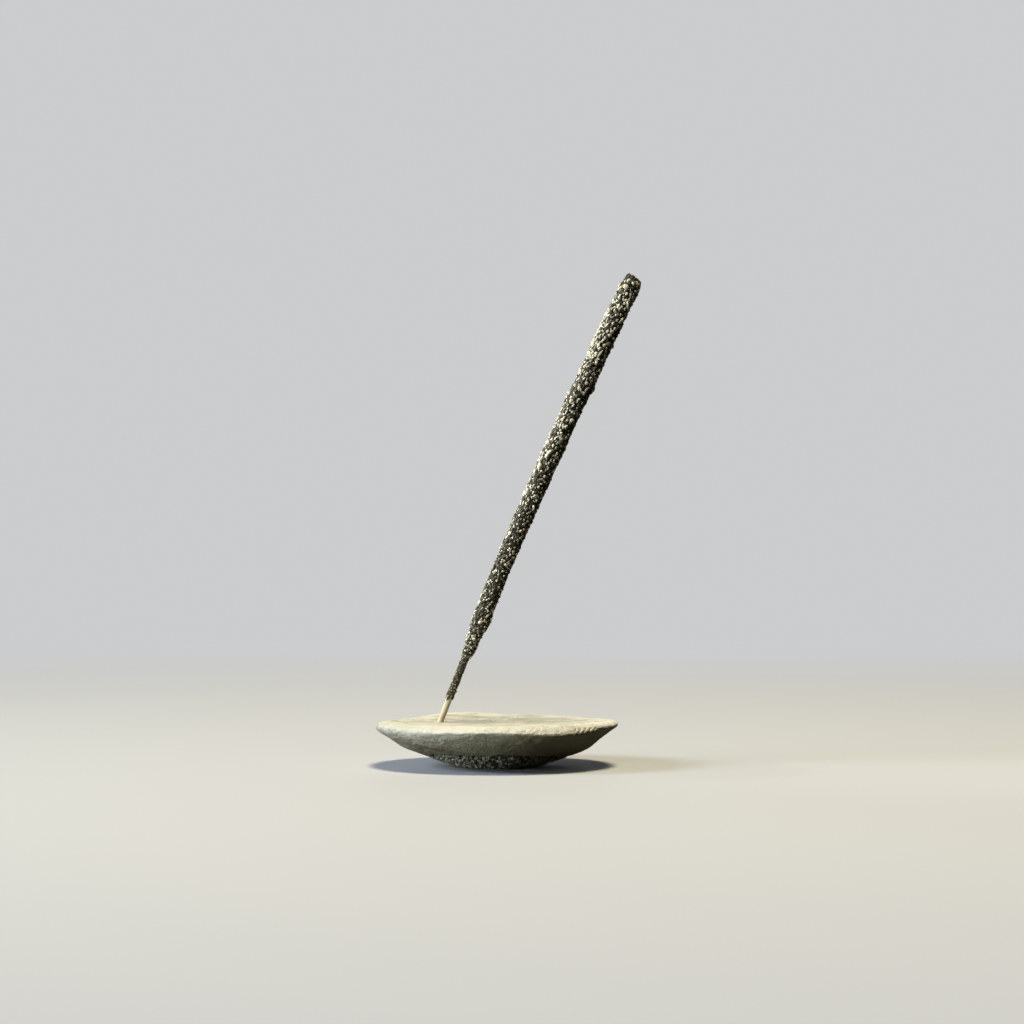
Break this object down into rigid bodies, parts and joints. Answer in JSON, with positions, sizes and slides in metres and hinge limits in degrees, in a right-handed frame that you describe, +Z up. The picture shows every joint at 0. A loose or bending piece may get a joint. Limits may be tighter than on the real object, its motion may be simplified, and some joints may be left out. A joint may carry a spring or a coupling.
{
  "type": "incense burner",
  "caption": "Shallow hand-formed clay dish with a slanting blind hole that holds one thick hand-rolled incense stick, rough with resin crumbs.",
  "frame": {"origin": "centre of the dish's foot, on the surface that it stands on", "axes": "+Z up; +X the way the stick leans; -Y towards the front"},
  "size_m": [0.1105, 0.0946, 0.2031],
  "materials": {
    "clay": "matte",
    "bamboo": "matte",
    "binder_paste": "matte",
    "incense_paste": "matte",
    "resin": "satin"
  },
  "bodies": {
    "dish": {"dish": "clay"},
    "stick": {"bamboo_core": "bamboo", "binder_coat": "binder_paste", "incense_coat": "incense_paste", "resin_crumbs": "resin"}
  },
  "joints": [
    {"name": "stick_lift", "type": "slide", "parent": "dish", "child": "stick", "axis": [0.3649, 0, 0.9311], "range_m": [0, 0.06]}
  ]
}
